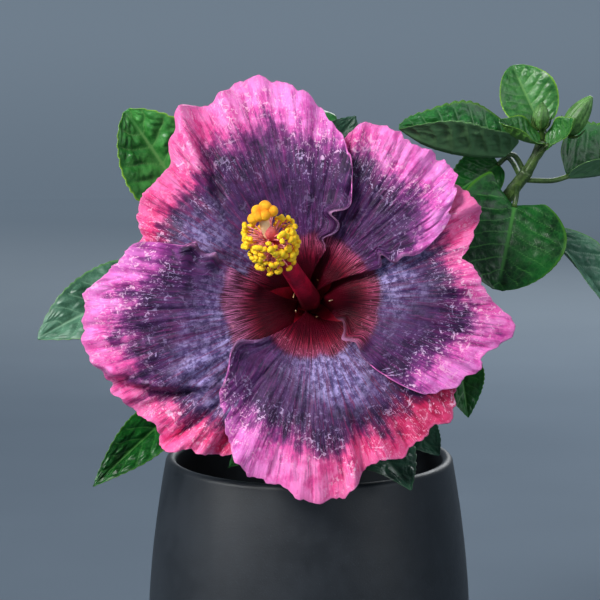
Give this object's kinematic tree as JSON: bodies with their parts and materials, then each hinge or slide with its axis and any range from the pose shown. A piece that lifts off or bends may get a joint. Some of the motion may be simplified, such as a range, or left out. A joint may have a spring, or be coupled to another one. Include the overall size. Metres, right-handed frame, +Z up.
{
  "type": "potted hibiscus shrub",
  "caption": "Hibiscus shrub in a tapered dark grey pot, with one very large plum and pink bloom facing forward and a leafy side shoot in bud.",
  "frame": {"origin": "centre of the flat underside of the pot", "axes": "+Z up; the bloom faces -Y; +X is to the right of a viewer who faces the bloom, on the side of the leafy shoot"},
  "size_m": [0.306, 0.2297, 0.3747],
  "materials": {
    "pot_ceramic": "matte, fine mineral grain",
    "compost": "rough, crumbly",
    "bark": "rough, lightly ridged",
    "green_stem": "satin",
    "foliage": "glossy upper side",
    "large_leaf": "glossy, quilted between veins",
    "young_leaf": "glossy, bright edge",
    "petal": "soft satin, creased",
    "column": "satin",
    "anther": "powdery",
    "stigma": "powdery",
    "sepal": "satin, ribbed"
  },
  "bodies": {
    "root": {"pot": "pot_ceramic", "soil": "compost", "main_stem": "bark", "bough_top": "bark", "bough_left": "bark", "bough_shoot": "bark", "bough_right": "bark", "bough_back_left": "bark", "bough_back_right": "bark", "bough_low_back": "bark", "shoot_tip": "green_stem", "flower_stalk": "green_stem", "leaf_top_left": "large_leaf", "leaf_left": "large_leaf", "leaf_lower_left": "large_leaf", "leaf_top": "large_leaf", "leaf_right_upper": "large_leaf", "leaf_right_small": "large_leaf", "leaf_right_round": "large_leaf", "leaf_far_right": "large_leaf", "leaf_right_top": "large_leaf", "leaf_shoot_top": "young_leaf", "leaf_shoot_left": "young_leaf", "leaf_shoot_right": "young_leaf", "leaf_hanging": "large_leaf", "leaf_over_rim": "large_leaf", "leaf_pot_right": "large_leaf", "leaf_in_pot": "large_leaf", "bud_round": "sepal", "bud_pointed": "sepal", "foliage_top": "foliage", "foliage_left": "foliage", "foliage_right": "foliage", "foliage_low_left": "foliage", "foliage_low_right": "foliage", "foliage_back_left": "foliage", "foliage_back_right": "foliage", "foliage_back_low": "foliage", "petal_upper_left": "petal", "petal_upper_right": "petal", "petal_right": "petal", "petal_lower": "petal", "petal_left": "petal", "staminal_column": "column", "anther_head": "anther", "stigma": "stigma", "calyx": "sepal"}
  },
  "joints": []
}
